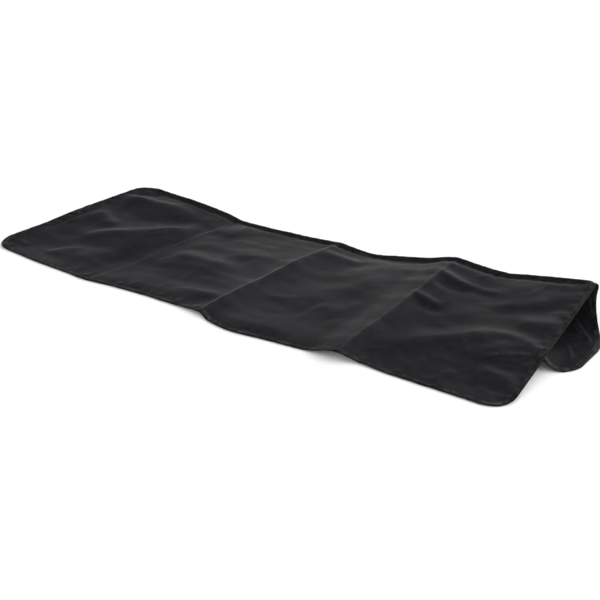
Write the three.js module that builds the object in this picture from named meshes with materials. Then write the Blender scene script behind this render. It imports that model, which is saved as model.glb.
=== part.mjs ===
// Keyboard dust cover, lying as it was put down: a long top panel with four rounded corners, and a back
// flap of the same length that is sewn under the top's back edge, turned forward beneath it and spread
// on the surface. Both panels are bound all round with folded tape.
// Millimetres, +X along the length, +Y towards the back, +Z up. The lengths below are measured from the
// front left corner; the group is then moved so that the origin is the middle of the space it stands on.
import * as THREE from 'three';
import { mergeVertices } from 'three/addons/utils/BufferGeometryUtils.js';

// Driving dimensions
const LENGTH = 1400;
const FLAP_LENGTH = 1406;
const TOP_DEPTH = 500;
const FLAP_DEPTH = 321;
const CORNER_RADIUS = 55;
const FRONT_LEFT_RADIUS = 60;
const BACK_RIGHT_RADIUS = 28;
const FLAP_BACK_LEFT_RADIUS = 48;
const FLAP_BACK_RIGHT_RADIUS = 20;
const CLOTH = 1;
const TAPE = 1;
const TAPE_WIDTH = 12;
const GAP = 0.3;
const CENTRE = { x: 724, y: 228 };

// Heights of a panel's middle surface
const BARE_LIFT = CLOTH / 2;
const BOUND_LIFT = CLOTH / 2 + GAP + TAPE;
const SEAM_DROP = 2 * BOUND_LIFT + GAP;
const OVER_FLAP = 2 * BOUND_LIFT + BARE_LIFT + 2;
// The strip beneath the tape stays straight, and folds rise to their full height past it
const FLAT_STRIP = TAPE_WIDTH + 2;
const FOLD_START = 4 * FLAT_STRIP;
// Distances from the front edge between which the top rises to clear the flap's free edge
const CLEARING = { from: 80, to: 160 };

// How the flap runs: down from the seam to its foot, then forward on the surface
const FOOT_Y = 405;
const FOOT_SOFTNESS = 26;
const FLAP_LEFT_X = 34;
const FLAP_SPREAD = 180;
// A bound edge lies on its tape and the bare cloth further in lies on the surface
const LIFT_START = 25;
const LIFT_FADE = 16;
// Beside its right-hand corner the flap's free edge lifts off the surface
const CURL = { at: 1332, spread: 27, rise: 24, pull: 12, start: 200 };

// Sections across the length. at: place along the cut length. frontY and frontZ: how far the front edge
// is set back and raised. backX, backY and backZ: where the back edge lies.
const SECTIONS = [
  { at: 0, frontY: -4, frontZ: 4, backX: 56, backY: 488, backZ: 37 },
  { at: 100, frontY: -14, frontZ: 0, backX: 152, backY: 488, backZ: 33 },
  { at: 200, frontY: -21, frontZ: 0, backX: 248, backY: 488, backZ: 28 },
  { at: 300, frontY: -24, frontZ: 0, backX: 345, backY: 489, backZ: 16 },
  { at: 350, frontY: -27, frontZ: 0, backX: 396, backY: 487, backZ: 6.5 },
  { at: 450, frontY: -15, frontZ: 0, backX: 486, backY: 485, backZ: 7 },
  { at: 560, frontY: -8, frontZ: 0, backX: 590, backY: 489, backZ: 8 },
  { at: 650, frontY: -7, frontZ: 2, backX: 672, backY: 489, backZ: 12 },
  { at: 700, frontY: -11, frontZ: 5, backX: 716, backY: 489, backZ: 15 },
  { at: 740, frontY: -26, frontZ: 0, backX: 752, backY: 490, backZ: 11 },
  { at: 800, frontY: -34, frontZ: 0, backX: 806, backY: 490, backZ: 7 },
  { at: 880, frontY: -24, frontZ: 0, backX: 884, backY: 490, backZ: 19 },
  { at: 970, frontY: -13, frontZ: 0, backX: 972, backY: 489, backZ: 35 },
  { at: 1050, frontY: -4, frontZ: 14, backX: 1056, backY: 487, backZ: 53 },
  { at: 1100, frontY: 5, frontZ: 2, backX: 1101, backY: 487, backZ: 49 },
  { at: 1160, frontY: 2, frontZ: 0, backX: 1156, backY: 487, backZ: 46 },
  { at: 1230, frontY: 3, frontZ: 0, backX: 1218, backY: 487, backZ: 55 },
  { at: 1310, frontY: 4, frontZ: 0, backX: 1292, backY: 486, backZ: 67 },
  { at: 1400, frontY: 4, frontZ: 0, backX: 1370, backY: 484, backZ: 79 },
];

// Share of a fold's length over which it fades at either end
const FOLD_FADE = 0.3;

// Creases and ridges of the top panel, each along a line in the cut panel. u: along the length.
// v: from the front edge. rise is negative for a trough.
const FOLDS = [
  { name: 'storage crease 1', u0: 350, v0: -60, u1: 350, v1: 560, width: 20, rise: -4 },
  { name: 'storage crease 2', u0: 700, v0: -60, u1: 700, v1: 560, width: 14, rise: 4 },
  { name: 'storage crease 3', u0: 1050, v0: -60, u1: 1050, v1: 560, width: 16, rise: 6 },
  { name: 'bow of the left end', u0: 0, v0: 140, u1: 0, v1: 560, width: 70, rise: 5 },
  { name: 'ridge into crease 1', u0: 120, v0: 140, u1: 370, v1: 400, width: 28, rise: 7 },
  { name: 'hollow beside crease 1', u0: 230, v0: 90, u1: 350, v1: 300, width: 34, rise: -4 },
  { name: 'cross ridge of panel 2', u0: 370, v0: 232, u1: 590, v1: 228, width: 26, rise: 5 },
  { name: 'back ridge of panel 3', u0: 690, v0: 440, u1: 880, v1: 440, width: 24, rise: 5 },
  { name: 'upper trough off crease 3', u0: 1040, v0: 385, u1: 1150, v1: 378, width: 20, rise: -5 },
  { name: 'lower trough off crease 3', u0: 1040, v0: 275, u1: 1150, v1: 268, width: 20, rise: -5 },
  { name: 'long ridge of panel 4', u0: 1090, v0: 110, u1: 1300, v1: 250, width: 26, rise: 8 },
  { name: 'end ridge of panel 4', u0: 1260, v0: 165, u1: 1440, v1: 220, width: 26, rise: 5 },
  { name: 'end trough of panel 4', u0: 1200, v0: 320, u1: 1400, v1: 380, width: 28, rise: -6 },
];

const clamp01 = (value) => Math.min(1, Math.max(0, value));
const mix = (from, to, share) => from + (to - from) * share;
const smooth = (share) => share * share * (3 - 2 * share);
const easeBetween = (low, high, value) => smooth(clamp01((value - low) / (high - low)));

// Larger of two heights, with the corner between them rounded off
const softMax = (a, b, softness = 3) => (a + b + Math.hypot(a - b, softness)) / 2 - softness / 4;

// Slope of a table's column at one of its rows, flat at peaks and valleys so that nothing overshoots
function slopeAt(table, key, row) {
  const step = (k) => (table[k + 1][key] - table[k][key]) / (table[k + 1].at - table[k].at);
  if (row === 0) return step(0);
  if (row === table.length - 1) return step(row - 1);
  const before = step(row - 1);
  const after = step(row);
  return before * after > 0 ? (2 * before * after) / (before + after) : 0;
}

// Value of a table's column at any place along the length
function along(table, key, at) {
  let row = 0;
  while (row < table.length - 2 && table[row + 1].at < at) row += 1;
  const [start, end] = [table[row], table[row + 1]];
  const run = end.at - start.at;
  const t = (at - start.at) / run;
  const bend = t * (1 - t);
  const startSlope = slopeAt(table, key, row) * run;
  const endSlope = slopeAt(table, key, row + 1) * run;
  return mix(start[key], end[key], smooth(t)) + bend * ((1 - t) * startSlope - t * endSlope);
}

// Height that the folds add at one place of the top panel
function foldHeight(u, v) {
  let height = 0;
  for (const fold of FOLDS) {
    const run = { u: fold.u1 - fold.u0, v: fold.v1 - fold.v0 };
    const reach = Math.hypot(run.u, run.v);
    const share = ((u - fold.u0) * run.u + (v - fold.v0) * run.v) / reach ** 2;
    const aside = ((u - fold.u0) * run.v - (v - fold.v0) * run.u) / reach;
    const fade = easeBetween(0, FOLD_FADE, share) * easeBetween(0, FOLD_FADE, 1 - share);
    height += fold.rise * fade * Math.exp(-((aside / fold.width) ** 2));
  }
  return height;
}

// Middle surface of the top panel
function topPoint(u, v) {
  const share = v / TOP_DEPTH;
  const slope = Math.max(0, (v - FLAT_STRIP) / (TOP_DEPTH - FLAT_STRIP));
  const ramp = mix(along(SECTIONS, 'frontZ', u), along(SECTIONS, 'backZ', u) - BOUND_LIFT, slope);
  const inside = easeBetween(FLAT_STRIP, FOLD_START, v);
  const raised = ramp + BOUND_LIFT + foldHeight(u, v) * inside;
  const clearance = mix(BOUND_LIFT, OVER_FLAP, easeBetween(CLEARING.from, CLEARING.to, v));
  return new THREE.Vector3(
    mix(u, along(SECTIONS, 'backX', u), share),
    mix(along(SECTIONS, 'frontY', u), along(SECTIONS, 'backY', u), share),
    v <= FLAT_STRIP ? raised : Math.max(softMax(raised, clearance), clearance),
  );
}

// Direction square to a surface that is given as a function of two lengths
function facing(point, u, v) {
  const alongU = point(u + 1, v).sub(point(u - 1, v));
  const alongV = point(u, v + 1).sub(point(u, v - 1));
  return alongU.cross(alongV).normalize();
}

// Height of the flap's middle surface where it lies on the surface
function flapLift(u, w) {
  const fromEdge = Math.min(u, FLAP_LENGTH - u, FLAP_DEPTH - w);
  return mix(BOUND_LIFT, BARE_LIFT, easeBetween(LIFT_START, LIFT_START + LIFT_FADE, fromEdge));
}

// Middle surface of the back flap. w: from the seam at the back edge towards the free edge.
function flapPoint(u, w) {
  const inSeam = Math.min(w, FLAT_STRIP);
  const under = topPoint(u, TOP_DEPTH - inSeam);
  const seam = under.addScaledVector(facing(topPoint, u, TOP_DEPTH - inSeam), -SEAM_DROP);
  if (w <= FLAT_STRIP) return seam;

  const travelled = w - FLAT_STRIP;
  const drop = seam.z - flapLift(u, FLAT_STRIP);
  const slant = Math.hypot(seam.y - FOOT_Y, drop);
  const window = Math.min(FOOT_SOFTNESS, travelled);
  const spread = easeBetween(0, FLAP_SPREAD, travelled);
  const point = new THREE.Vector3(mix(seam.x, FLAP_LEFT_X + u, spread), 0, 0);
  const samples = [-1, -0.5, 0, 0.5, 1];
  for (const offset of samples) {
    const reached = travelled + offset * window;
    const share = Math.min(1, reached / slant);
    point.y += (mix(seam.y, FOOT_Y, share) - Math.max(0, reached - slant)) / samples.length;
    point.z += mix(drop, 0, share) / samples.length;
  }
  const curling = easeBetween(CURL.start, FLAP_DEPTH, w) * Math.exp(-(((u - CURL.at) / CURL.spread) ** 2));
  point.y += CURL.pull * curling;
  point.z += flapLift(u, w) + CURL.rise * curling;
  return point;
}

// One quarter corner, halved: from its diagonal to where the straight edge starts
function halfCorner(radius, inset, steps = 3) {
  const points = [];
  for (let k = 0; k < steps; k += 1) {
    const angle = (Math.PI / 4) * (1 - k / steps);
    const arc = radius - inset;
    points.push({ run: radius - arc * Math.sin(angle), in: radius - arc * Math.cos(angle) });
  }
  return points;
}

// One side of a panel's outline: half corner, straight stretch, half corner
function side(startRadius, endRadius, total, stops, inset) {
  const straight = [startRadius, ...stops, total - endRadius].map((run) => ({ run, in: inset }));
  const closing = halfCorner(endRadius, inset).map((point) => ({ run: total - point.run, in: point.in }));
  return [...halfCorner(startRadius, inset), ...straight, ...closing.reverse()];
}

// The four sides of a panel at a distance in from its edge, as places in the cut panel
function outline(panel, inset) {
  const { length, depth, radii, columns, rows } = panel;
  const front = side(radii.frontLeft, radii.frontRight, length, columns, inset);
  const back = side(radii.backLeft, radii.backRight, length, columns, inset);
  const left = side(radii.frontLeft, radii.backLeft, depth, rows, inset);
  const right = side(radii.frontRight, radii.backRight, depth, rows, inset);
  return {
    front: front.map((point) => [point.run, point.in]),
    back: back.map((point) => [point.run, depth - point.in]),
    left: left.map((point) => [point.in, point.run]),
    right: right.map((point) => [length - point.in, point.run]),
  };
}

// The outline once round, each corner counted once
function loopOf(sides) {
  const { front, right, back, left } = sides;
  const backwards = (points) => [...points].reverse();
  return [front, right, backwards(back), backwards(left)].flatMap((points) => points.slice(0, -1));
}

// Number of columns at either end that follow the rounded end of the panel
const END_COLUMNS = 5;

// Places inside the bound edge: straight lines from front to back, drawn in to the ends near them
function fillGrid(sides) {
  const lastColumn = sides.front.length - 1;
  const lastRow = sides.left.length - 1;
  const ruled = (i, j) => [0, 1].map((k) => mix(sides.front[i][k], sides.back[i][k], j / lastRow));
  const endPull = (i, j, endColumn, endSide) => {
    const pull = 1 - easeBetween(0, END_COLUMNS, Math.abs(i - endColumn));
    const atEnd = ruled(endColumn, j);
    return [0, 1].map((k) => pull * (endSide[j][k] - atEnd[k]));
  };
  return sides.front.map((_, i) => sides.left.map((__, j) => {
    const start = ruled(i, j);
    const toLeft = endPull(i, j, 0, sides.left);
    const toRight = endPull(i, j, lastColumn, sides.right);
    return start.map((value, k) => value + toLeft[k] + toRight[k]);
  }));
}

// Closed geometry from vertices and faces of three or four corners
function solid(vertices, faces) {
  const positions = vertices.flatMap((vertex) => vertex.toArray());
  const geometry = new THREE.BufferGeometry();
  geometry.setAttribute('position', new THREE.Float32BufferAttribute(positions, 3));
  geometry.setIndex(faces.flatMap(([a, b, c, d]) => (d === undefined ? [a, b, c] : [a, b, c, a, c, d])));
  return mergeVertices(geometry, 1e-3);
}

// A panel's cloth: its two faces, half a thickness off the middle surface, joined round the edge
function clothGeometry(panel) {
  const inner = fillGrid(outline(panel, TAPE_WIDTH));
  const rim = loopOf(outline(panel, 0));
  const places = [...inner.flat(), ...rim];
  const rowCount = inner[0].length;
  const lastColumn = inner.length - 1;
  const lastRow = rowCount - 1;
  const cell = (i, j) => i * rowCount + j;
  const innerLoop = [];
  for (let i = 0; i < lastColumn; i += 1) innerLoop.push(cell(i, 0));
  for (let j = 0; j < lastRow; j += 1) innerLoop.push(cell(lastColumn, j));
  for (let i = lastColumn; i > 0; i -= 1) innerLoop.push(cell(i, lastRow));
  for (let j = lastRow; j > 0; j -= 1) innerLoop.push(cell(0, j));

  const faces = [];
  for (let i = 0; i < lastColumn; i += 1) {
    for (let j = 0; j < lastRow; j += 1) {
      faces.push([cell(i, j), cell(i + 1, j), cell(i + 1, j + 1), cell(i, j + 1)]);
    }
  }
  const rimStart = places.length - rim.length;
  rim.forEach((_, k) => {
    const next = (k + 1) % rim.length;
    faces.push([rimStart + k, rimStart + next, innerLoop[next], innerLoop[k]]);
  });

  const offset = (amount) => places.map(([a, b]) => (
    panel.point(a, b).addScaledVector(panel.normal(a, b), amount)
  ));
  const count = places.length;
  const under = faces.map((face) => [face[0], face[3], face[2], face[1]].map((index) => index + count));
  const edge = rim.map((_, k) => {
    const next = (k + 1) % rim.length;
    return [rimStart + k, rimStart + k + count, rimStart + next + count, rimStart + next];
  });
  return solid([...offset(CLOTH / 2), ...offset(-CLOTH / 2)], [...faces, ...under, ...edge]);
}

// The tape round a panel: a U of tape closed over the cloth's edge, a gap clear of it
function bindingGeometry(panel) {
  const rim = loopOf(outline(panel, 0));
  const inner = loopOf(outline(panel, TAPE_WIDTH));
  const clear = CLOTH / 2 + GAP;
  const outer = clear + TAPE;
  const vertices = rim.flatMap(([rimA, rimB], k) => {
    const [innerA, innerB] = inner[k];
    const atRim = panel.point(rimA, rimB);
    const atInner = panel.point(innerA, innerB);
    const rimUp = panel.normal(rimA, rimB);
    const innerUp = panel.normal(innerA, innerB);
    const outward = atRim.clone().sub(atInner);
    outward.addScaledVector(rimUp, -outward.dot(rimUp)).normalize();
    const section = (base, up, height, out) => (
      base.clone().addScaledVector(up, height).addScaledVector(outward, out)
    );
    return [
      section(atInner, innerUp, clear, 0),
      section(atInner, innerUp, outer, 0),
      section(atRim, rimUp, outer, GAP + TAPE),
      section(atRim, rimUp, -outer, GAP + TAPE),
      section(atInner, innerUp, -outer, 0),
      section(atInner, innerUp, -clear, 0),
      section(atRim, rimUp, -clear, GAP),
      section(atRim, rimUp, clear, GAP),
    ];
  });
  const corners = 8;
  const legsStartingInside = [1, 5];
  const faces = rim.flatMap((_, k) => {
    const next = (k + 1) % rim.length;
    return Array.from({ length: corners }, (__, c) => {
      const d = (c + 1) % corners;
      const face = [k * corners + c, k * corners + d, next * corners + d, next * corners + c];
      // Split along the same diagonal as the cloth beneath, so that the gap between them stays even
      return legsStartingInside.includes(c) ? [...face.slice(1), face[0]] : face;
    });
  });
  return solid(vertices, faces);
}

// Places along the length where both panels are divided, closer together at the storage creases and
// where the flap's free edge is lifted
function columnStops() {
  const foldedPanel = LENGTH / 4;
  const shares = [0, 0.05, 0.2, 0.35, 0.5, 0.65, 0.8, 0.95];
  const stops = [0, 1, 2, 3].flatMap((start) => shares.map((share) => (start + share) * foldedPanel));
  const clearOfEnds = (stop) => stop > FRONT_LEFT_RADIUS + FLAT_STRIP && stop < CURL.at - CURL.spread;
  const atCurl = [-1, -0.5, 0].map((step) => CURL.at + step * CURL.spread);
  return [...stops.filter(clearOfEnds), ...atCurl];
}

const columns = columnStops();
const top = {
  length: LENGTH,
  depth: TOP_DEPTH,
  radii: {
    frontLeft: FRONT_LEFT_RADIUS,
    frontRight: CORNER_RADIUS,
    backLeft: CORNER_RADIUS,
    backRight: BACK_RIGHT_RADIUS,
  },
  columns,
  rows: [94, 133, 172, 211, 250, 289, 328, 367, 406],
  point: topPoint,
  normal: (u, v) => facing(topPoint, u, v),
};
// The flap is turned under, so it is laid out from its free edge for its upper face to stay the same
const flapPlace = (u, v) => flapPoint(u, FLAP_DEPTH - v);
const flap = {
  length: FLAP_LENGTH,
  depth: FLAP_DEPTH,
  radii: {
    frontLeft: CORNER_RADIUS,
    frontRight: CORNER_RADIUS,
    backLeft: FLAP_BACK_LEFT_RADIUS,
    backRight: FLAP_BACK_RIGHT_RADIUS,
  },
  columns,
  rows: [78, 100, 122, 144, 164, 182, 198, 212, 226, 240, 253],
  point: flapPlace,
  normal: (u, v) => facing(flapPlace, u, v),
};

function piece(name, geometry, colour, roughness) {
  const material = new THREE.MeshStandardMaterial({ color: colour, roughness, metalness: 0 });
  const mesh = new THREE.Mesh(geometry, material);
  mesh.name = name;
  return mesh;
}

const cover = new THREE.Group();
cover.add(piece('top_panel', clothGeometry(top), 0x2b2c31, 0.75));
cover.add(piece('back_flap', clothGeometry(flap), 0x2b2c31, 0.75));
cover.add(piece('top_binding', bindingGeometry(top), 0x232326, 0.85));
cover.add(piece('flap_binding', bindingGeometry(flap), 0x232326, 0.85));
cover.position.set(-CENTRE.x, -CENTRE.y, 0);

export default cover;
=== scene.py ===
"""Keyboard dust cover, lying as it was put down: a long top panel and a back flap, both bound with tape.

Lengths in the tables are millimetres from the cover's front left corner. u runs along the cut cloth,
v from its front edge towards the back, and w from the flap's seam towards its free edge.
"""

import math

import bpy
import numpy as np
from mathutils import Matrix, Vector


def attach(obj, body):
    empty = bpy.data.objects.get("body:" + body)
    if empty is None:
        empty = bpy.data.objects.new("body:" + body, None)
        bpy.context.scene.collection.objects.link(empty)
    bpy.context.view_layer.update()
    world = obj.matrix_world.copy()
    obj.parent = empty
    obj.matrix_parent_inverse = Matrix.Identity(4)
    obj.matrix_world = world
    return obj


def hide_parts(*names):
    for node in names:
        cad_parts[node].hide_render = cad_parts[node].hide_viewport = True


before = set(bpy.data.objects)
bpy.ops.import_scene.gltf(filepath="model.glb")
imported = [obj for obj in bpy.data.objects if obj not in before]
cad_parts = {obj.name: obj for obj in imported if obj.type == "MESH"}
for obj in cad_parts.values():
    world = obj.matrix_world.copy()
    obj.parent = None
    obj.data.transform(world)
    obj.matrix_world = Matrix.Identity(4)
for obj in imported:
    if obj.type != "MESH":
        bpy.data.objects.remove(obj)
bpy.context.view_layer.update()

# ---------------------------------------------------------------- sizes, as in the frame's solids

LENGTH = 1400
FLAP_LENGTH = 1406
TOP_DEPTH = 500
FLAP_DEPTH = 321
TAPE_WIDTH = 12
# Where the frame's origin lies
CENTRE = np.array([724.0, 228.0, 0.0])

# Corner radii: front left, front right, back right, back left
TOP_RADII = (60, 55, 28, 55)
FLAP_RADII = (55, 55, 20, 48)

# Each panel cut flat: length, depth, corner radii
TOP_CUT = (LENGTH, TOP_DEPTH, TOP_RADII)
FLAP_CUT = (FLAP_LENGTH, FLAP_DEPTH, FLAP_RADII)

# Heights of the solids' middle surfaces: on the floor bare and bound, the flap under the top at the seam,
# and the top over the flap's bound edge and over the flap
BARE_LIFT = 0.5
BOUND_LIFT = 1.8
SEAM_DROP = 3.9
OVER_FLAP_EDGE = 5.0
OVER_FLAP = 3.4

# The strip along a bound edge that stays flat, and where the broad folds have come in behind it
FLAT_STRIP = 14
FOLD_START = 56
# Between these distances the top rises onto the flap's bound edge, and comes down from it again
REACHING_FLAP = (130, 180)
PAST_FLAP_EDGE = (225, 260)

# The flap's foot on the floor, its left end, how its edge lifts, and the curl of its free corner
FOOT_Y = 405
FOOT_SOFTNESS = 26
FLAP_LEFT_X = 34
FLAP_SPREAD = 180
LIFT_START = 25
LIFT_FADE = 16
CURL_AT, CURL_SPREAD, CURL_RISE, CURL_PULL, CURL_START = 1332, 27, 24, 12, 200

# Cross sections of the top panel: at, front y, front z, back x, back y, back z
SECTIONS = np.array([
    (0, -4, 4, 56, 488, 37),
    (100, -14, 0, 152, 488, 33),
    (200, -21, 0, 248, 488, 28),
    (300, -24, 0, 345, 489, 16),
    (350, -27, 0, 396, 487, 6.5),
    (450, -15, 0, 486, 485, 7),
    (560, -8, 0, 590, 489, 8),
    (650, -7, 2, 672, 489, 12),
    (700, -11, 5, 716, 489, 15),
    (740, -26, 0, 752, 490, 11),
    (800, -34, 0, 806, 490, 7),
    (880, -24, 0, 884, 490, 19),
    (970, -13, 0, 972, 489, 35),
    (1050, -4, 14, 1056, 487, 53),
    (1100, 5, 2, 1101, 487, 49),
    (1160, 2, 0, 1156, 487, 46),
    (1230, 3, 0, 1218, 487, 55),
    (1310, 4, 0, 1292, 486, 67),
    (1400, 4, 0, 1370, 484, 79),
], float)
FRONT_Y, FRONT_Z, BACK_X, BACK_Y, BACK_Z = range(1, 6)

# Broad folds of the top panel: u0, v0, u1, v1, width, rise
FOLDS = [
    (0, 140, 0, 560, 70, 5),
    (120, 140, 370, 400, 28, 7),
    (130, 300, 320, 415, 30, -3),
    (10, 398, 240, 436, 24, 4),
    (120, 62, 270, 84, 28, 2),
    (342, 40, 344, 360, 34, -4),
    (370, 232, 590, 228, 26, 5),
    (690, 438, 880, 438, 24, 3),
    (750, 240, 940, 228, 55, 3),
    (1040, 374, 1145, 370, 17, -4),
    (1040, 265, 1145, 262, 17, -4),
    (1090, 110, 1300, 250, 26, 7),
    (1260, 165, 1440, 220, 26, 5),
    (1200, 320, 1400, 380, 28, -6),
]
# Share of a fold's or wrinkle's length over which it fades at either end
FOLD_FADE = 0.3

# Storage creases. section: the row of SECTIONS it belongs to. height: of the sharp fold, and left and
# right: its widths. line: v, u along it.
CREASES = [
    dict(section=350, height=-3, left=20, right=6, line=(
        (0, 366), (150, 371), (350, 350), (440, 358), (500, 364),
    )),
    dict(section=700, height=3.5, left=6, right=30, line=((0, 692), (150, 688), (350, 688), (500, 700))),
    dict(section=1050, height=4, left=11, right=9, line=((0, 1046), (100, 1042), (200, 1045), (500, 1037))),
]
# How far from a crease the sections follow its line
CREASE_REACH = 70
# How far the tip of a crease is rounded off, and how wide it is painted pale, partly as wear and partly as
# painted highlight
CREASE_TIP = 1.2
CREASE_WEAR_AND_HIGHLIGHT_WIDTH = 2.4

# ---------------------------------------------------------------- the finer relief of the cloth

# How steep the far side of a wrinkle is, in degrees, judged from how clearly it shows
GENTLE, SOFT, SHARP, CRISP = 4.5, 9, 14, 20
# A bell of height 1 and width 1 is this steep where it is steepest
BELL_SLOPE = 0.858
# How wide the crest of a wrinkle is painted pale as a painted highlight
CREST_HIGHLIGHT_WIDTH = 2.6

# Wrinkles of the top panel. line: u, v along the crest. far and near: widths on the left and on the right
# of the line, looking along it. Most lines run left to right or front to back, so that near is the side
# of the front right corner. tilt: of the far side, less than zero in a hollow. pale: how strong the painted
# highlight on its crest is.
WRINKLES = [
    dict(line=((150, 158), (180, 184), (212, 206), (246, 229), (275, 252), (294, 280), (308, 320),
               (333, 362)),
         far=30, near=50, tilt=SOFT, pale=0.4),
    dict(line=((292, 12), (294, 50), (299, 140), (310, 220), (326, 300), (345, 365)), far=70, near=38,
         tilt=GENTLE, pale=0),
    dict(line=((15, 400), (60, 408), (110, 416), (160, 428), (215, 450)), far=26, near=70, tilt=SOFT, pale=0),
    dict(line=((12, 425), (45, 440), (75, 462), (90, 488)), far=28, near=14, tilt=-SOFT, pale=0),
    dict(line=((352, 350), (356, 270), (364, 210), (370, 150), (368, 90), (366, 20)), far=38, near=9,
         tilt=-SOFT, pale=0),
    dict(line=((30, 292), (80, 282), (130, 262), (172, 240)), far=20, near=32, tilt=SHARP, pale=0),
    dict(line=((158, 40), (170, 80), (190, 100), (222, 113)), far=10, near=30, tilt=SOFT, pale=0),
    dict(line=((25, 52), (60, 50), (100, 46)), far=8, near=14, tilt=SHARP, pale=0),
    dict(line=((383, 232), (400, 216), (430, 203), (470, 199), (515, 197), (560, 205), (600, 222)), far=28,
         near=55, tilt=SOFT, pale=0.15),
    dict(line=((340, 400), (375, 402), (410, 404), (455, 412)), far=58, near=26, tilt=GENTLE, pale=0.1),
    dict(line=((465, 15), (472, 40), (482, 66)), far=6, near=8, tilt=GENTLE, pale=0.2),
    dict(line=((522, 15), (530, 60), (532, 105), (528, 150), (516, 200)), far=5, near=12,
         tilt=GENTLE, pale=0.3),
    dict(line=((550, 58), (585, 68), (620, 76), (655, 82), (688, 74)), far=14, near=34, tilt=SOFT, pale=0.3),
    dict(line=((490, 245), (550, 300), (600, 325), (650, 330)), far=20, near=25, tilt=GENTLE, pale=0),
    dict(line=((688, 433), (730, 429), (780, 430), (836, 422)), far=13, near=55, tilt=SHARP, pale=1.0),
    dict(line=((830, 430), (850, 400), (872, 368), (900, 330), (940, 290)), far=30, near=40,
         tilt=GENTLE, pale=0),
    dict(line=((745, 162), (780, 180), (832, 198)), far=12, near=25, tilt=SOFT, pale=0),
    dict(line=((868, 180), (910, 176), (952, 165)), far=30, near=45, tilt=GENTLE, pale=0),
    dict(line=((815, 474), (870, 471), (960, 470), (1040, 472)), far=11, near=18, tilt=-SHARP, pale=0),
    dict(line=((1030, 416), (1062, 408), (1094, 400), (1128, 398)), far=14, near=9, tilt=SHARP, pale=0.1),
    dict(line=((1090, 398), (1140, 397), (1190, 396), (1225, 390)), far=14, near=11, tilt=SOFT, pale=0),
    dict(line=((1030, 302), (1062, 294), (1090, 287), (1122, 283)), far=14, near=9, tilt=SHARP, pale=0.1),
    dict(line=((1086, 102), (1130, 112), (1165, 136), (1190, 158), (1215, 176), (1240, 194), (1266, 222)),
         far=20, near=26, tilt=SOFT, pale=0.25),
    dict(line=((1255, 226), (1310, 230), (1350, 222), (1394, 218)), far=18, near=18, tilt=SOFT, pale=0),
    dict(line=((1276, 141), (1303, 150), (1330, 164), (1358, 178), (1394, 192)), far=7, near=14, tilt=SHARP,
         pale=0.7),
    dict(line=((1325, 147), (1355, 153), (1392, 150)), far=4, near=6, tilt=SHARP, pale=0.1),
    dict(line=((1318, 132), (1350, 138), (1390, 137)), far=4, near=8, tilt=SOFT, pale=0),
    dict(line=((1205, 340), (1250, 350), (1285, 360), (1312, 376), (1350, 384)), far=20, near=26, tilt=SOFT,
         pale=0.1),
    dict(line=((1338, 350), (1365, 353), (1393, 359)), far=10, near=8, tilt=GENTLE, pale=0.1),
    dict(line=((1285, 292), (1340, 298), (1394, 303)), far=18, near=30, tilt=SOFT, pale=0),
    dict(line=((1268, 395), (1280, 425), (1292, 468)), far=5, near=8, tilt=SOFT, pale=0),
    dict(line=((1122, 435), (1130, 455), (1140, 482)), far=5, near=8, tilt=SOFT, pale=0),
    dict(line=((1318, 52), (1350, 43), (1386, 45)), far=6, near=24, tilt=SHARP, pale=0.3),
    dict(line=((1290, 98), (1345, 92), (1393, 84)), far=22, near=34, tilt=SOFT, pale=0),
    dict(line=((1232, 12), (1246, 40), (1262, 85)), far=8, near=14, tilt=SHARP, pale=0),
    dict(line=((1172, 15), (1180, 60), (1190, 95)), far=8, near=20, tilt=SOFT, pale=0),
    dict(line=((34, 90), (35, 170), (34, 260), (33, 330), (32, 420)), far=4, near=3.5, tilt=-SHARP, pale=0),
]

# Wrinkles of the flap, in the same way, with w in the place of v; their pale crests are painted highlights
FLAP_WRINKLES = [
    dict(line=((1388, 30), (1397, 66), (1403, 105)), far=4, near=4, tilt=CRISP, pale=0.8),
    dict(line=((1352, 82), (1374, 128), (1394, 172)), far=4, near=4, tilt=CRISP, pale=1.0),
    dict(line=((1346, 100), (1358, 121), (1370, 142)), far=4, near=4, tilt=CRISP, pale=0.5),
    dict(line=((1342, 186), (1364, 221), (1384, 256)), far=4, near=4, tilt=CRISP, pale=0.7),
    dict(line=((1300, 150), (1325, 200), (1350, 250)), far=14, near=14, tilt=GENTLE, pale=0),
]

# Shallow trough that the seam pulls along the back edge, and where it comes in from the two ends
TROUGH_IN, TROUGH_WIDTH, TROUGH_DEPTH = 18, 9, 3.6
TROUGH_ENDS = (20, 80)

# Distances from a panel's edge between which the wrinkles, the creases and the unevenness come in
WRINKLES_IN = (2, 26)
CREASES_IN = (-6, 40)
UNEVENNESS_IN = (4, 50)

# ---------------------------------------------------------------- working it out


def mix(a, b, share):
    return a + (b - a) * share


def smooth(share):
    return share * share * (3 - 2 * share)


def ease(low, high, value):
    return smooth(np.clip((value - low) / (high - low), 0, 1))


def soft_max(a, b, softness=3.0):
    return (a + b + np.hypot(a - b, softness)) / 2 - softness / 4


def along(column, at):
    """A column of SECTIONS at any place along the length, flat at its peaks and valleys."""
    places, values = SECTIONS[:, 0], SECTIONS[:, column]
    steps = np.diff(values) / np.diff(places)
    before, after = steps[:-1], steps[1:]
    same = before * after > 0
    inner = np.where(same, 2 * before * after / np.where(same, before + after, 1), 0)
    slopes = np.concatenate([steps[:1], inner, steps[-1:]])
    row = np.clip(np.searchsorted(places, at) - 1, 0, len(places) - 2)
    run = places[row + 1] - places[row]
    t = (at - places[row]) / run
    bend = t * (1 - t) * ((1 - t) * slopes[row] - t * slopes[row + 1]) * run
    return mix(values[row], values[row + 1], smooth(t)) + bend


def edge_distance(u, v, length, depth):
    return np.minimum(np.minimum(u, length - u), np.minimum(v, depth - v))


def ridge(u, v, line):
    """(distance aside, share of the way) of places from a fold's line."""
    u0, v0, u1, v1 = line
    du, dv = u1 - u0, v1 - v0
    reach = math.hypot(du, dv)
    share = ((u - u0) * du + (v - v0) * dv) / reach**2
    aside = ((u - u0) * dv - (v - v0) * du) / reach
    return aside, share


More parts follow.
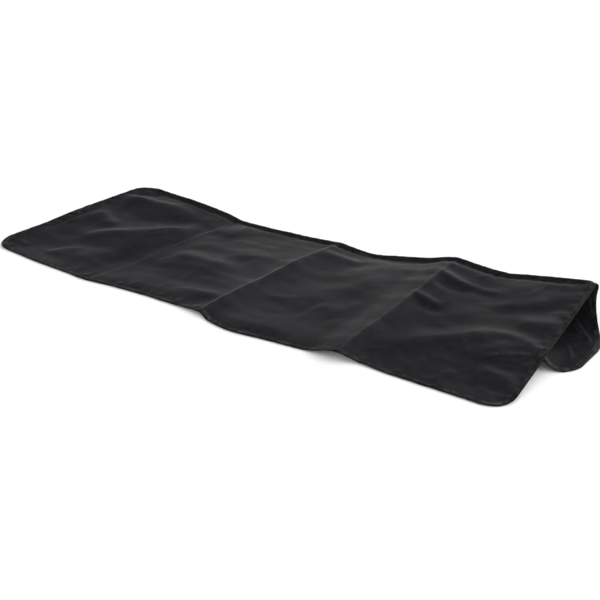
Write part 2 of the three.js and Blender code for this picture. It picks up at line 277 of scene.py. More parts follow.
def end_fade(share):
    """Brings a fold in and out again along its length."""
    return ease(0, FOLD_FADE, share) * ease(0, FOLD_FADE, 1 - share)


def fold_height(u, v):
    height = np.zeros(np.shape(u))
    for *line, width, rise in FOLDS:
        aside, share = ridge(u, v, line)
        height += rise * end_fade(share) * np.exp(-((aside / width) ** 2))
    return height


def aside_of_crease(crease, u, v):
    line = np.array(crease["line"], float)
    return u - np.interp(v, line[:, 0], line[:, 1])


def crease_height(u, v):
    height = np.zeros(np.shape(u))
    for crease in CREASES:
        aside = aside_of_crease(crease, u, v)
        width = np.where(aside < 0, crease["left"], crease["right"])
        height += crease["height"] * np.exp(-(np.hypot(aside, CREASE_TIP) - CREASE_TIP) / width)
    return height


def section_place(u, v):
    """Where along SECTIONS a place belongs: the creases wander a little, and the sections with them."""
    place = u
    for crease in CREASES:
        aside = aside_of_crease(crease, u, v)
        wander = crease["section"] - (u - aside)
        place = place + wander * np.exp(-((aside / CREASE_REACH) ** 2))
    return np.clip(place, 0, LENGTH)


def beside(line, u, v):
    """(distance aside, share of the way) of places from a bent line; positive on the near side."""
    points = np.array(line, float)
    lengths = np.hypot(*np.diff(points, axis=0).T)
    starts = np.concatenate([[0], np.cumsum(lengths)])
    nearest = np.full(np.shape(u), np.inf)
    aside, share = np.zeros(np.shape(u)), np.zeros(np.shape(u))
    for k, length in enumerate(lengths):
        du, dv = (points[k + 1] - points[k]) / length
        run = np.clip((u - points[k, 0]) * du + (v - points[k, 1]) * dv, 0, length)
        off_u, off_v = u - points[k, 0] - run * du, v - points[k, 1] - run * dv
        away = np.hypot(off_u, off_v)
        closer = away < nearest
        nearest = np.where(closer, away, nearest)
        side = np.where(off_u * dv - off_v * du < 0, -1, 1)
        aside = np.where(closer, away * side, aside)
        share = np.where(closer, (starts[k] + run) / starts[-1], share)
    return aside, share


def wrinkle_shape(wrinkle, u, v):
    """(height, paleness) of one wrinkle."""
    aside, share = beside(wrinkle["line"], u, v)
    fade = end_fade(share)
    width = np.where(aside < 0, wrinkle["far"], wrinkle["near"])
    rise = wrinkle["far"] * np.tan(np.radians(wrinkle["tilt"])) / BELL_SLOPE
    height = rise * fade * np.exp(-((aside / width) ** 2))
    return height, wrinkle["pale"] * fade * np.exp(-((aside / CREST_HIGHLIGHT_WIDTH) ** 2))


def wrinkles(table, u, v):
    """(height, paleness) that a table of wrinkles gives."""
    shapes = [wrinkle_shape(wrinkle, u, v) for wrinkle in table]
    return sum(height for height, pale in shapes), sum(pale for height, pale in shapes)


def clearance(v):
    """The least height of the top panel's middle: over the floor, the flap's bound edge, and the flap."""
    over_edge = mix(BOUND_LIFT, OVER_FLAP_EDGE, ease(*REACHING_FLAP, v))
    return mix(over_edge, OVER_FLAP, ease(*PAST_FLAP_EDGE, v))


def top_base(u, v):
    """Middle surface of the top panel, without what is random."""
    share = v / TOP_DEPTH
    slope = np.maximum(0, (v - FLAT_STRIP) / (TOP_DEPTH - FLAT_STRIP))
    place = section_place(u, v)
    ramp = mix(along(FRONT_Z, place), along(BACK_Z, place) - BOUND_LIFT, slope)
    folds = fold_height(u, v) * ease(FLAT_STRIP, FOLD_START, v)
    edge = edge_distance(u, v, LENGTH, TOP_DEPTH)
    inside = ease(*WRINKLES_IN, edge)
    folds = folds + wrinkles(WRINKLES, u, v)[0] * inside + crease_height(u, v) * ease(*CREASES_IN, edge)
    from_ends = ease(*TROUGH_ENDS, np.minimum(u, LENGTH - u))
    folds = folds - TROUGH_DEPTH * from_ends * np.exp(-(((TOP_DEPTH - v - TROUGH_IN) / TROUGH_WIDTH) ** 2))
    raised = ramp + BOUND_LIFT + folds
    cleared = np.maximum(soft_max(raised, clearance(v)), clearance(v))
    return np.stack([
        mix(u, along(BACK_X, u), share),
        mix(along(FRONT_Y, u), along(BACK_Y, u), share),
        np.where(v <= FLAT_STRIP, np.maximum(raised, BOUND_LIFT), cleared),
    ], -1)


def facing(point, u, v):
    """Direction square to a surface given as a function of two lengths."""
    along_u = point(u + 1, v) - point(u - 1, v)
    along_v = point(u, v + 1) - point(u, v - 1)
    square = np.cross(along_u, along_v)
    return square / np.linalg.norm(square, axis=-1, keepdims=True)


def flap_lift(u, w):
    """Height of the flap's middle where it lies on the floor: more at its bound edge."""
    from_edge = np.minimum(np.minimum(u, FLAP_LENGTH - u), FLAP_DEPTH - w)
    return mix(BOUND_LIFT, BARE_LIFT, ease(LIFT_START, LIFT_START + LIFT_FADE, from_edge))


def flap_base(u, w):
    """Middle surface of the back flap: along the seam, down to its foot, then forward on the floor."""
    at_seam = TOP_DEPTH - np.minimum(w, FLAT_STRIP)
    seam = top_base(u, at_seam) - SEAM_DROP * facing(top_base, u, at_seam)
    travelled = np.maximum(w - FLAT_STRIP, 0)
    drop = seam[..., 2] - flap_lift(u, np.full(np.shape(u), float(FLAT_STRIP)))
    slant = np.hypot(seam[..., 1] - FOOT_Y, drop)
    window = np.minimum(FOOT_SOFTNESS, travelled)
    # an average over nearby places rounds the foot off
    y = z = 0
    offsets = np.linspace(-1, 1, 9)
    for offset in offsets:
        reached = travelled + offset * window
        share = np.minimum(1, reached / slant)
        y = y + (mix(seam[..., 1], FOOT_Y, share) - np.maximum(0, reached - slant)) / len(offsets)
        z = z + mix(drop, 0, share) / len(offsets)
    curling = ease(CURL_START, FLAP_DEPTH, w) * np.exp(-(((u - CURL_AT) / CURL_SPREAD) ** 2))
    return np.stack([
        mix(seam[..., 0], FLAP_LEFT_X + u, ease(0, FLAP_SPREAD, travelled)),
        y + CURL_PULL * curling,
        z + flap_lift(u, w) + CURL_RISE * curling,
    ], -1)


# ---------------------------------------------------------------- seeded unevenness

rng = np.random.default_rng(1228)

# Brings a lattice's spread back to about 1 after the smoothing
LATTICE_SPREAD = 1.9
# Places end this far before a lattice does, so that four neighbours are always there
LATTICE_END = 4.001


def wave_lattice(count_u, count_v):
    return rng.standard_normal((count_u + 4, count_v + 4))


def spline_weights(t):
    """Shares of four neighbours in a cubic spline."""
    return np.stack([
        (1 - t) ** 3,
        3 * t**3 - 6 * t**2 + 4,
        -3 * t**3 + 3 * t**2 + 3 * t + 1,
        t**3,
    ]) / 6


def lattice_value(lattice, a, b):
    """Smooth value of a random lattice at places counted in its own cells."""
    a = np.clip(a, 0, lattice.shape[0] - LATTICE_END)
    b = np.clip(b, 0, lattice.shape[1] - LATTICE_END)
    cell_a, cell_b = a.astype(int), b.astype(int)
    weights_a, weights_b = spline_weights(a - cell_a), spline_weights(b - cell_b)
    value = 0
    for i in range(4):
        for j in range(4):
            value = value + weights_a[i] * weights_b[j] * lattice[cell_a + i, cell_b + j]
    return value * LATTICE_SPREAD


class Unevenness:
    """Heights that vary at random over a panel, at one spacing each way."""

    def __init__(self, length, depth, pitch_u, pitch_v, rise):
        self.pitch_u, self.pitch_v, self.rise = pitch_u, pitch_v, rise
        self.lattice = wave_lattice(math.ceil(length / pitch_u), math.ceil(depth / pitch_v))

    def at(self, u, v):
        return self.rise * lattice_value(self.lattice, u / self.pitch_u, v / self.pitch_v)


class Puckers:
    """Small ridges that run in from a panel's tape, square to it."""

    # distances inside the tape between which they come in, and in which they differ along their run
    STARTS = (-4, 3)
    DEEPEST = 60
    PITCH_INWARDS = 20
    CELLS_INWARDS = 6

    def __init__(self, length, depth, pitch, rise, reach):
        self.length, self.depth, self.rise, self.reach = length, depth, rise, reach
        self.pitch = pitch
        runs = (length, length, depth, depth)
        self.sides = [wave_lattice(math.ceil(run / pitch), self.CELLS_INWARDS) for run in runs]

    def at(self, u, v):
        height = 0
        distances = (v, self.depth - v, u, self.length - u)
        for lattice, run, distance in zip(self.sides, (u, u, v, v), distances):
            inside = distance - TAPE_WIDTH
            fade = np.exp(-np.maximum(inside, 0) / self.reach) * ease(*self.STARTS, inside)
            inwards = np.clip(inside, 0, self.DEEPEST) / self.PITCH_INWARDS
            height = height + fade * lattice_value(lattice, run / self.pitch, inwards)
        return height * self.rise


# Spacing along and across, and height; then the spacing, height and reach of the puckers
top_unevenness = [
    Unevenness(LENGTH, TOP_DEPTH, 90, 70, 1.5),
    Unevenness(LENGTH, TOP_DEPTH, 90, 20, 0.45),
    Unevenness(LENGTH, TOP_DEPTH, 34, 26, 0.45),
    Unevenness(LENGTH, TOP_DEPTH, 15, 13, 0.14),
]
top_puckers = Puckers(LENGTH, TOP_DEPTH, 8, 1.1, 12)
flap_unevenness = [
    Unevenness(FLAP_LENGTH, FLAP_DEPTH, 80, 70, 0.7),
    Unevenness(FLAP_LENGTH, FLAP_DEPTH, 30, 28, 0.35),
]
flap_puckers = Puckers(FLAP_LENGTH, FLAP_DEPTH, 8, 0.7, 9)

# How softly each panel comes down on what it rests on
TOP_LANDING, FLAP_LANDING = 1.0, 0.6


def top_surface(u, v):
    point = top_base(u, v)
    quiet = ease(*UNEVENNESS_IN, edge_distance(u, v, LENGTH, TOP_DEPTH))
    extra = quiet * sum(layer.at(u, v) for layer in top_unevenness) + top_puckers.at(u, v)
    z = np.maximum(soft_max(point[..., 2] + extra, clearance(v), TOP_LANDING), clearance(v))
    return np.stack([point[..., 0], point[..., 1], z], -1)


def flap_surface(u, w):
    point = flap_base(u, w)
    edge = edge_distance(u, w, FLAP_LENGTH, FLAP_DEPTH)
    inside = ease(*WRINKLES_IN, edge)
    quiet = ease(*UNEVENNESS_IN, edge)
    extra = quiet * sum(layer.at(u, w) for layer in flap_unevenness) + flap_puckers.at(u, w)
    extra = extra + inside * wrinkles(FLAP_WRINKLES, u, w)[0]
    z = soft_max(point[..., 2] + extra, np.full(np.shape(u), BARE_LIFT), FLAP_LANDING)
    return np.stack([point[..., 0], point[..., 1], z], -1)


# ---------------------------------------------------------------- meshes


def add_object(name, points, faces):
    """A new object, from points in metres."""
    mesh = bpy.data.meshes.new(name)
    mesh.from_pydata(points.tolist(), [], faces.tolist())
    obj = bpy.data.objects.new(name, mesh)
    bpy.context.scene.collection.objects.link(obj)
    return obj


def make_piece(name, points, faces, uvs=None, wear_and_painted_light=None):
    """A smooth piece, from points in millimetres from the front left corner and, for each point, its place
    on the cut cloth and how pale it is painted, as wear and as painted light."""
    obj = add_object(name, (points - CENTRE) / 1000, faces)
    mesh = obj.data
    if uvs is not None:
        layer = mesh.uv_layers.new(name="UVMap")
        corners = np.empty(len(mesh.loops), np.int32)
        mesh.loops.foreach_get("vertex_index", corners)
        layer.data.foreach_set("uv", (uvs[corners] / 1000).astype(np.float32).ravel())
    if wear_and_painted_light is not None:
        attribute = mesh.attributes.new("wear_and_painted_light", "FLOAT", "POINT")
        attribute.data.foreach_set("value", wear_and_painted_light.astype(np.float32))
    mesh.shade_smooth()
    return obj


def corner_inset(radius, distance):
    """How far a rounded corner draws the outline in, at a distance from the side it starts on."""
    rest = np.maximum(radius - distance, 0)
    return radius - np.sqrt(np.maximum(radius**2 - rest**2, 0))


# Rows or columns of a mesh stand this close, and this far to either side, of a storage crease
FINE_PITCH, FINE_REACH = 2.0, 13


def spaced(total, pitch, edge_steps, fine_places=()):
    """Places from 0 to total: close at both ends and around some places, a pitch apart elsewhere."""
    inner = np.arange(edge_steps[-1] + pitch, total - edge_steps[-1] - pitch / 2, pitch)
    for place in fine_places:
        inner = inner[np.abs(inner - place) > FINE_REACH]
        inner = np.append(inner, np.arange(place - FINE_REACH + 1, place + FINE_REACH, FINE_PITCH))
    edges = np.array(edge_steps, float)
    return np.concatenate([edges, np.sort(inner), total - edges[::-1]])


# The cloth ends this far inside the tape's fold. It is twice CLOTH_HALF thick.
RIM_INSET = 1.0
CLOTH_HALF = 0.25
# How far from an end the rounded corners draw the columns in
CORNER_BLEND = 130
# The fewest steps round a corner of the tape
CORNER_STEPS = 8
# The least height over the floor
CLOTH_CLEAR, TAPE_CLEAR, THREAD_CLEAR = 0.15, 0.1, 0.02


def cloth(name, surface, length, depth, radii, columns, rows, paleness):
    """A closed sheet on a surface given by two lengths."""
    front_left, front_right, back_right, back_left = radii
    nominal_u, nominal_v = np.meshgrid(columns, rows, indexing="ij")
    from_front, from_back = nominal_v, depth - nominal_v
    left = np.maximum(corner_inset(front_left, from_front), corner_inset(back_left, from_back))
    right = np.maximum(corner_inset(front_right, from_front), corner_inset(back_right, from_back))
    near_left, near_right = (1 - ease(0, CORNER_BLEND, away) for away in (nominal_u, length - nominal_u))
    rounded_u = nominal_u + left * near_left - right * near_right
    u = RIM_INSET + rounded_u * (1 - 2 * RIM_INSET / length)
    v = RIM_INSET + nominal_v * (1 - 2 * RIM_INSET / depth)

    middle = surface(u, v)
    normal = facing(surface, u, v)
    upper = middle + normal * CLOTH_HALF
    lower = middle - normal * CLOTH_HALF
    count_u, count_v = u.shape
    index = np.arange(count_u * count_v).reshape(count_u, count_v)
    quads = np.stack([index[:-1, :-1], index[1:, :-1], index[1:, 1:], index[:-1, 1:]], -1).reshape(-1, 4)
    rim = np.concatenate([index[:-1, 0], index[-1, :-1], index[:0:-1, -1], index[0, :0:-1]])
    after = np.roll(rim, -1)
    total = index.size
    sides = np.stack([rim, rim + total, after + total, after], -1)
    faces = np.concatenate([quads, quads[:, ::-1] + total, sides])
    points = np.concatenate([upper.reshape(-1, 3), lower.reshape(-1, 3)])
    points[:, 2] = np.maximum(points[:, 2], CLOTH_CLEAR)
    flat = np.stack([u, v], -1).reshape(-1, 2)
    # how pale each point is painted: wear and painted highlight
    wear_and_painted_light = paleness(u, v).ravel()
    return make_piece(name, points, faces, np.concatenate([flat, flat]), np.tile(wear_and_painted_light, 2))


def outline(length, depth, radii, step):
    """Once round a panel's edge: places, directions inwards, and the distance travelled."""
    front_left, front_right, back_right, back_left = radii
    places, inwards = [], []

    def straight(start, end, inward):
        start, end = np.array(start, float), np.array(end, float)
        count = max(1, round(np.linalg.norm(end - start) / step))
        for k in range(count):
            places.append(start + (end - start) * k / count)
            inwards.append(np.array(inward, float))

    def corner(centre, radius, start_angle):
        count = max(CORNER_STEPS, round(radius * math.pi / 2 / step))
        for k in range(count):
            angle = math.radians(start_angle + 90 * k / count)
            out = np.array([math.cos(angle), math.sin(angle)])
            places.append(np.array(centre, float) + radius * out)
            inwards.append(-out)

    straight((front_left, 0), (length - front_right, 0), (0, 1))
    corner((length - front_right, front_right), front_right, -90)
    straight((length, front_right), (length, depth - back_right), (-1, 0))
    corner((length - back_right, depth - back_right), back_right, 0)
    straight((length - back_right, depth), (back_left, depth), (0, -1))
    corner((back_left, depth - back_left), back_left, 90)
    straight((0, depth - back_left), (0, front_left), (1, 0))
    corner((front_left, front_left), front_left, 180)
    places, inwards = np.array(places), np.array(inwards)
    travelled = np.concatenate([[0], np.cumsum(np.linalg.norm(np.diff(places, axis=0), axis=1))])
    return places, inwards, travelled


# The folded tape in section, half of it: distance in from the cloth's edge, height of the outer face
TAPE_OUTSIDE = (
    (12.0, 0.60), (11.7, 1.08), (10.9, 1.10), (10.2, 0.78), (9.5, 1.10), (7.5, 1.40), (4.5, 1.48),
    (2.0, 1.45), (0.3, 1.22), (-0.7, 0.72), (-1.1, 0),
)
TAPE_INSIDE = ((0.1, 0), (0.5, 0.42), (6.0, 0.5), (11.6, 0.42))
# How pale the tape is painted as highlight lines, by distance in: two places along its inner edge and one
# near its fold
TAPE_HIGHLIGHT_LINES = {11.7: 0.3, 10.9: 0.55, 2.0: 0.1}
# Painted side light: how much paler the tape is painted on the sides that catch light, at the front, the left
# end, the right end and the back
PAINTED_SIDE_LIGHT = (0.4, 0.55, 0.35, 0.05)
# Within this distance of its fold the tape gets no painted side light, and its edge wanders only beyond the
# other
RIM, INNER_EDGE = 1, 9
# Faces of the section lower than this lie inside the fold
OUTER_FACE = 0.55

# Places along the tape stand this far apart. Then the spacing and size of its ripples, of its inner edge's
# wandering, and of its patches of painted side light.
TAPE_STEP = 3.0
RIPPLE_PITCH, RIPPLE_RISE = 6, 0.26
WANDER_PITCH, WANDER_REACH = 14, 0.35
SIDE_LIGHT_PATCH_PITCH = 5
# The lap's two ends lie quiet over this length
LAP = 40


def tape_section():
    """Distance in and height of each corner of the section, once round."""
    outside_top = list(TAPE_OUTSIDE)
    outside_under = [(d, -h) for d, h in reversed(TAPE_OUTSIDE[:-1])]
    inside_under = [(d, -h) for d, h in reversed(TAPE_INSIDE[1:])]
    inside_top = list(TAPE_INSIDE)
    return np.array(outside_top + outside_under + inside_under + inside_top)


def on_panel(surface, places, inwards, distance, height):
    """Points over a panel's edge, a distance in from it and a height off its middle surface."""
    flat = places + inwards * np.maximum(distance, 0)[:, None]
    base = surface(flat[:, 0], flat[:, 1])
    normal = facing(surface, flat[:, 0], flat[:, 1])
    further = flat + inwards * 2
    inward = surface(further[:, 0], further[:, 1]) - base
    inward = inward - normal * np.sum(inward * normal, -1, keepdims=True)
    inward /= np.linalg.norm(inward, axis=-1, keepdims=True)
    return base + normal * height[:, None] + inward * np.minimum(distance, 0)[:, None]


def tape(name, surface, length, depth, radii):
    """Tape folded over a panel's edge, all round."""
    places, inwards, travelled = outline(length, depth, radii, TAPE_STEP)
    section = tape_section()
    count = len(places)
    perimeter = travelled[-1]
    ripple = wave_lattice(math.ceil(perimeter / RIPPLE_PITCH), 8)
    edge_wander = wave_lattice(math.ceil(perimeter / WANDER_PITCH), 2)
    # both ends of the lap meet at the front left corner
    meet = ease(0, LAP, travelled) * ease(0, LAP, perimeter - travelled)
    # patches that break up the painted side light
    side_light_patches = wave_lattice(math.ceil(perimeter / SIDE_LIGHT_PATCH_PITCH), 8)
    front, left, right, back = PAINTED_SIDE_LIGHT
    ends = mix(right, left, inwards[:, 0] > 0) * np.abs(inwards[:, 0])
    side_light = ends + mix(back, front, inwards[:, 1] > 0) * np.abs(inwards[:, 1])
    rings, flats, pales = [], [], []
    across = 0
    for k, (distance, height) in enumerate(section):
        if k:
            across += math.hypot(*(section[k] - section[k - 1]))
        outside = abs(height) > OUTER_FACE or distance < 0
        swell = lattice_value(ripple, travelled / RIPPLE_PITCH, np.full(count, across / RIPPLE_PITCH))
        wander = lattice_value(edge_wander, travelled / WANDER_PITCH, np.full(count, 0.5))
        distances = distance + wander * WANDER_REACH * meet * (distance > INNER_EDGE)
        heights = height + np.sign(height) * (swell * RIPPLE_RISE * meet) * outside
        rings.append(on_panel(surface, places, inwards, distances, heights))
        flats.append(np.stack([travelled, np.full(count, across)], -1))
        # how pale the tape is painted: highlight lines along its edges, and painted side light in patches on
        # its outer faces
        patches = lattice_value(side_light_patches, travelled / SIDE_LIGHT_PATCH_PITCH, np.full(count, across / SIDE_LIGHT_PATCH_PITCH))
        wear_and_painted_light = TAPE_HIGHLIGHT_LINES.get(distance, 0) + side_light * (distance > RIM) * (0.6 + 0.8 * patches)
        pales.append(np.clip(wear_and_painted_light, 0, 1) * outside)
    points = np.stack(rings, 1)
    points[..., 2] = np.maximum(points[..., 2], TAPE_CLEAR)
    sides = len(section)
    index = np.arange(count * sides).reshape(count, sides)
    forward = np.roll(index, -1, 0)
    faces = np.stack([index, forward, np.roll(forward, -1, 1), np.roll(index, -1, 1)], -1).reshape(-1, 4)
    flat, wear_and_painted_light = np.stack(flats, 1).reshape(-1, 2), np.stack(pales, 1).ravel()
    return make_piece(name, points.reshape(-1, 3), faces, flat, wear_and_painted_light)


STITCH_PITCH = 3.6
STITCH_LENGTH = 2.9
STITCH_SIDES = 6
# Half of the thread's width, and how much flatter it is pressed
THREAD_HALF = 0.28
THREAD_PRESSED = 0.8
# Where a row lies: in from the panel's edge, off its middle surface, and how far stitches stray
STITCH_IN, STITCH_OUT, STITCH_STRAY = 10.2, 0.86, 0.12


def capsule():
    """One stitch along x, 1 long and 1 wide before it is stretched: a short thread with rounded ends."""
    rings = ((-0.5, 0.35), (-0.38, 0.9), (0, 1), (0.38, 0.9), (0.5, 0.35))
    angles = np.arange(STITCH_SIDES) * math.pi / 3
    points = [(x, r * math.cos(a), r * math.sin(a)) for x, r in rings for a in angles]
    faces = []
    for start in range(0, (len(rings) - 1) * STITCH_SIDES, STITCH_SIDES):
        for k in range(STITCH_SIDES):
            a, b = start + k, start + (k + 1) % STITCH_SIDES
            faces.append((a, a + STITCH_SIDES, b + STITCH_SIDES, b))
    first_cap = np.array([(0, 1, 2, 3), (0, 3, 4, 5)])
    last_cap = np.array([(3, 2, 1, 0), (5, 4, 3, 0)]) + (len(rings) - 1) * STITCH_SIDES
    return np.array(points), np.concatenate([np.array(faces), first_cap, last_cap])


def stitches(name, surface, length, depth, radii):
    """Rows of stitches along the tape's inner edge, on both of its faces."""
    places, inwards, _ = outline(length, depth, radii, STITCH_PITCH)
    shape, faces = capsule()
    all_points, all_faces = [], []
    count = len(places)
    for face in (1, -1):
        strayed = STITCH_IN + rng.normal(0, STITCH_STRAY, count)
        centre = on_panel(surface, places, inwards, strayed, np.full(count, face * STITCH_OUT))
        ahead = np.roll(centre, -1, 0) - np.roll(centre, 1, 0)
        ahead /= np.linalg.norm(ahead, axis=-1, keepdims=True)
        flat = places + inwards * STITCH_IN
        normal = facing(surface, flat[:, 0], flat[:, 1]) * face
        side = np.cross(normal, ahead)
        for k in range(count):
            up = normal[k] * THREAD_HALF * THREAD_PRESSED
            axes = np.stack([ahead[k] * STITCH_LENGTH, side[k] * THREAD_HALF, up])
            all_faces.append(faces + len(all_points) * len(shape))
            all_points.append(centre[k] + shape @ axes)
    points = np.concatenate(all_points)
    points[:, 2] = np.maximum(points[:, 2], THREAD_CLEAR)
    return make_piece(name, points, np.concatenate(all_faces))


def top_paleness(u, v):
    """How pale the top is painted: painted highlights along its crests, and wear with painted highlight along
    its storage creases.
    """
    pale = wrinkles(WRINKLES, u, v)[1]
    for crease in CREASES:
        pale = pale + np.exp(-((aside_of_crease(crease, u, v) / CREASE_WEAR_AND_HIGHLIGHT_WIDTH) ** 2))
    return pale


# painted highlights along the flap's crests
def flap_paleness(u, v):
    return wrinkles(FLAP_WRINKLES, u, FLAP_DEPTH - v)[1]


def flap_place(u, v):
    """The flap laid out from its free edge, so that its upper face stays the same way up."""
    return flap_surface(u, FLAP_DEPTH - v)


# Rows and columns of the meshes: the first few in from the long edges and from the ends, and the middles
# of the fine stretches at the storage creases
EDGE_ROWS = (0, 0.4, 1.2, 2.4, 4.2, 6.6, 9.6, 12.6, 15.6, 19)
END_COLUMNS = (0, 1.5, 4, 7, 10.5, 14)
CREASE_COLUMNS = (355, 690, 1042)

top_cloth = cloth(
    "top_cloth", top_surface, *TOP_CUT, spaced(LENGTH, 3.75, END_COLUMNS, CREASE_COLUMNS),
    spaced(TOP_DEPTH, 4.7, EDGE_ROWS), top_paleness,
)
flap_cloth = cloth(
    "flap_cloth", flap_place, *FLAP_CUT, spaced(FLAP_LENGTH, 4.0, END_COLUMNS),
    spaced(FLAP_DEPTH, 4.0, EDGE_ROWS), flap_paleness,
)
top_tape = tape("top_tape", top_surface, *TOP_CUT)
flap_tape = tape("flap_tape", flap_place, *FLAP_CUT)
top_stitches = stitches("top_stitches", top_surface, *TOP_CUT)
flap_stitches = stitches("flap_stitches", flap_place, *FLAP_CUT)

# ---------------------------------------------------------------- materials


class Nodes:
    """A node tree, with short ways to add and join nodes."""

    def __init__(self, tree):
        self.tree = tree

    def put(self, value, socket):
        """Joins a socket to another one, or sets it to a constant."""
        if isinstance(value, bpy.types.NodeSocket):
            self.tree.links.new(value, socket)
        else:
            socket.default_value = value

    def add(self, kind, inputs=None, **settings):
        node = self.tree.nodes.new(kind)
        for key, value in settings.items():
            setattr(node, key, value)
        for key, value in (inputs or {}).items():
            self.put(value, node.inputs[key])
        return node

    def math(self, operation, *values):
        return self.add("ShaderNodeMath", dict(enumerate(values)), operation=operation).outputs[0]

    def ramp(self, value, low, high, to_low=0.0, to_high=1.0):
        inputs = {"Value": value, "From Min": low, "From Max": high, "To Min": to_low, "To Max": to_high}
        return self.add("ShaderNodeMapRange", inputs, clamp=True).outputs["Result"]

    def blend(self, share, a, b):
        node = self.add("ShaderNodeMix", data_type="RGBA")
        # the colour sockets of a Mix node
        for key, value in {0: share, 6: a, 7: b}.items():
            self.put(value, node.inputs[key])
        return node.outputs[2]

    def noise(self, vector, scale, detail=3.0):
        inputs = {"Vector": vector, "Scale": scale, "Detail": detail, "Roughness": 0.5}
        return self.add("ShaderNodeTexNoise", inputs).outputs["Fac"]

    def object_place(self):
        return self.add("ShaderNodeTexCoord").outputs["Object"]


class Surface(Nodes):
    """The node tree of a new material."""

    def __init__(self, name):
        self.material = bpy.data.materials.new(name)
        self.material.use_nodes = True
        super().__init__(self.material.node_tree)
        self.shader = self.tree.nodes["Principled BSDF"]

    def set(self, key, value):
        self.put(value, self.shader.inputs[key])


def woven(name, dark, light, wear_and_light_colour, pitch, roughness, rib=1.0, gloss=0.0165, patches=70):
    """Plain-woven cloth: threads over and under each other, uneven in colour, and painted pale: wear and
    painted highlight along creases, painted highlight on crests, painted light on the tape.
    """
    nodes = Surface(name)
    place = nodes.add("ShaderNodeUVMap").outputs["UV"]
    split = nodes.add("ShaderNodeSeparateXYZ", {0: place})
    turns = 2 * math.pi / pitch
    warp = nodes.math("SINE", nodes.math("MULTIPLY", split.outputs["X"], turns))
    weft = nodes.math("SINE", nodes.math("MULTIPLY", split.outputs["Y"], turns * rib))
    weave = nodes.math("MULTIPLY", warp, weft)
    slub = nodes.noise(place, 900, 2)
    broad = nodes.noise(place, 9)
    patchy = nodes.noise(place, patches)

    tone = nodes.ramp(broad, 0.35, 0.65)
    colour = nodes.blend(tone, dark, light)
    speckle = nodes.ramp(nodes.math("ADD", patchy, nodes.math("MULTIPLY", slub, 0.5)), 0.5, 1.0)
    colour = nodes.blend(nodes.math("MULTIPLY", speckle, 0.16), colour, wear_and_light_colour)
    # paler where it is painted: wear and painted highlight on the cloth, painted highlight lines and painted
    # side light on the tape
    wear_and_painted_light = nodes.add("ShaderNodeAttribute", attribute_name="wear_and_painted_light").outputs["Fac"]
    wear_and_light_share = nodes.math("MULTIPLY", wear_and_painted_light, nodes.ramp(patchy, 0.3, 0.7, 0.25, 0.8))
    colour = nodes.blend(wear_and_light_share, colour, wear_and_light_colour)
    nodes.set("Base Color", colour)
    nodes.set("Roughness", nodes.ramp(patchy, 0.3, 0.7, roughness - 0.05, roughness + 0.06))
    nodes.set("Specular IOR Level", gloss)

    relief = nodes.math("ADD", nodes.math("MULTIPLY", weave, 0.5), nodes.math("MULTIPLY", slub, 1.2))
    bump = nodes.add("ShaderNodeBump", {"Height": relief, "Distance": 0.00008, "Strength": 0.6})
    nodes.set("Normal", bump.outputs["Normal"])
    return nodes.material


# A thread and its neighbour together, in metres
CLOTH_THREADS, TAPE_THREADS = 0.0009, 0.0012

# The third colour of each material is the pale one, for random speckle, wear and painted highlights
cloth_material = woven(
    "woven_polyester", dark=(0.0078, 0.0077, 0.0091, 1), light=(0.0113, 0.0111, 0.0132, 1),
    wear_and_light_colour=(0.045, 0.045, 0.050, 1), pitch=CLOTH_THREADS, roughness=0.38,
)
inner_material = woven(
    "cloth_inner_face", dark=(0.0070, 0.0069, 0.0084, 1), light=(0.0100, 0.0098, 0.0118, 1),
    wear_and_light_colour=(0.060, 0.060, 0.066, 1), pitch=CLOTH_THREADS, roughness=0.6, gloss=0.004,
)
tape_material = woven(
    "ribbed_tape", dark=(0.0022, 0.0021, 0.0024, 1), light=(0.0052, 0.0051, 0.0055, 1),
    wear_and_light_colour=(0.060, 0.060, 0.062, 1), pitch=TAPE_THREADS, roughness=0.5, rib=0.35, patches=170,
)


def thread():
    nodes = Surface("sewing_thread")
    place = nodes.object_place()
    tone = nodes.ramp(nodes.noise(place, 60, 2), 0.35, 0.65)
    nodes.set("Base Color", nodes.blend(tone, (0.004, 0.004, 0.005, 1), (0.009, 0.009, 0.010, 1)))
    nodes.set("Roughness", nodes.ramp(nodes.noise(place, 800, 2), 0.3, 0.7, 0.45, 0.65))
    nodes.set("Specular IOR Level", 0.04)
    return nodes.material


thread_material = thread()

# ---------------------------------------------------------------- pieces and what they stand for

PIECES = (
    (top_cloth, "top_panel", "cover_cloth", cloth_material),
    (flap_cloth, "back_flap", "cover_cloth", inner_material),
    (top_tape, "top_binding", "binding_tape", tape_material),
    (flap_tape, "flap_binding", "binding_tape", tape_material),
    (top_stitches, None, "binding_tape", thread_material),
    (flap_stitches, None, "binding_tape", thread_material),
)
for obj, node, slot, material in PIECES:
    obj.data.materials.append(material)
    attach(obj, "root")
    if node:
        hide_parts(node)


# Length of the tape round each panel, in metres
TOP_ROUND, FLAP_ROUND = (outline(*cut, TAPE_STEP)[2][-1] / 1000 for cut in (TOP_CUT, FLAP_CUT))

# ---------------------------------------------------------------- floor, light and camera

scene = bpy.context.scene


def floor_material():
    nodes = Surface("pale_floor")
    tone = nodes.ramp(nodes.noise(nodes.object_place(), 3, 2), 0.3, 0.7)
    nodes.set("Base Color", nodes.blend(tone, (0.90, 0.90, 0.90, 1), (0.92, 0.92, 0.92, 1)))
    nodes.set("Roughness", 0.8)
    return nodes.material


FLOOR_SIZE = 40
bpy.ops.mesh.primitive_plane_add(size=FLOOR_SIZE)
floor = bpy.context.object
floor.name = "floor"
floor.data.materials.append(floor_material())

world = bpy.data.worlds.new("studio")
scene.world = world
world.use_nodes = True


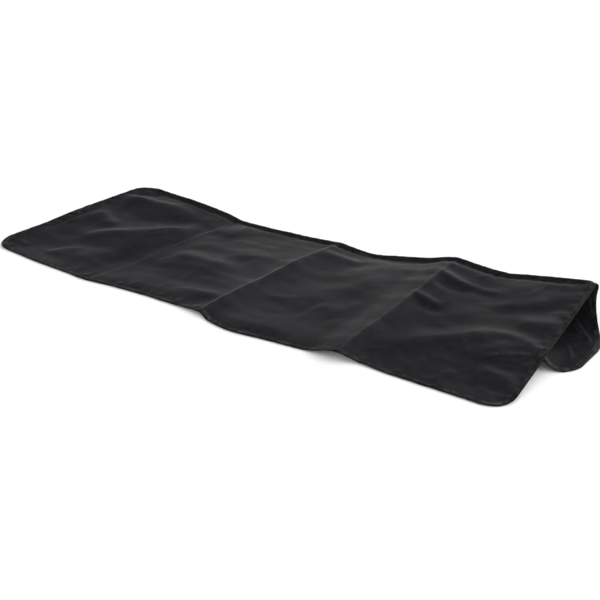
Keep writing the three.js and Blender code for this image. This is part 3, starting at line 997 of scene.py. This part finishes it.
def light_dome(everywhere, overhead, glows):
    """White surroundings: an even part, a part from above, and glows low down, each towards one side."""
    nodes = Nodes(world.node_tree)
    place = nodes.add("ShaderNodeTexCoord").outputs["Generated"]
    split = nodes.add("ShaderNodeSeparateXYZ", {0: place})
    up = nodes.math("MAXIMUM", split.outputs["Z"], 0)
    strength = nodes.math("MULTIPLY_ADD", nodes.math("POWER", up, 2), overhead, everywhere)
    low = nodes.math("SUBTRACT", 1, up)
    for glow in glows:
        angle = math.radians(glow["heading"])
        across = nodes.math("MULTIPLY", split.outputs["X"], math.cos(angle))
        ahead = nodes.math("MULTIPLY", split.outputs["Y"], math.sin(angle))
        towards = nodes.math("MAXIMUM", nodes.math("ADD", across, ahead), 0)
        part = nodes.math("MULTIPLY", nodes.math("POWER", towards, 2), low)
        strength = nodes.math("ADD", strength, nodes.math("MULTIPLY", part, glow["strength"]))
    background = world.node_tree.nodes["Background"]
    nodes.put((1, 1, 1, 1), background.inputs["Color"])
    nodes.put(strength, background.inputs["Strength"])


# heading: the direction a glow stands in, in degrees from the cover's right towards its back
GLOWS = (dict(heading=61, strength=10.4), dict(heading=-90, strength=3.5))
light_dome(everywhere=0.03, overhead=0.75, glows=GLOWS)

BACKDROP_RADIUS, BACKDROP_HEIGHT = 19.0, 4.0


def backdrop(name, first, last, strength):
    """A low white wall far out on the floor, where the glows are weak, from one heading to another."""
    angles = np.radians(np.arange(first, last + 1, 2.0))
    ring = np.stack([np.cos(angles), np.sin(angles)], -1) * BACKDROP_RADIUS
    foot = np.concatenate([ring, np.zeros((len(ring), 1))], -1)
    points = np.concatenate([foot, foot + (0, 0, BACKDROP_HEIGHT)])
    k = np.arange(len(ring) - 1)
    wall = add_object(name, points, np.stack([k + 1, k, k + len(ring), k + len(ring) + 1], -1))
    nodes = Surface("white_backdrop")
    tone = nodes.ramp(nodes.noise(nodes.object_place(), 0.2, 2), 0.3, 0.7)
    nodes.set("Emission Color", nodes.blend(tone, (0.98, 0.98, 0.98, 1), (1, 1, 1, 1)))
    nodes.set("Emission Strength", strength)
    wall.data.materials.append(nodes.material)


backdrop("backdrop_left", 130, 216, 1.45)
backdrop("backdrop_right", -36, -6, 1.0)

# The photograph's camera
ELEVATION, AZIMUTH = math.radians(24), math.radians(36.788)
CAMERA_PLACE = (1.2949, -1.6481, 0.8884)
camera_data = bpy.data.cameras.new("camera")
camera_data.lens = 60
camera_data.sensor_width = 36
camera = bpy.data.objects.new("camera", camera_data)
scene.collection.objects.link(camera)
camera.location = CAMERA_PLACE
look = Vector((
    -math.sin(AZIMUTH) * math.cos(ELEVATION),
    math.cos(AZIMUTH) * math.cos(ELEVATION),
    -math.sin(ELEVATION),
))
camera.rotation_euler = look.to_track_quat("-Z", "Y").to_euler()
scene.camera = camera

scene.view_settings.view_transform = "Standard"
scene.view_settings.look = "None"
scene.view_settings.exposure = 0
scene.view_settings.gamma = 1
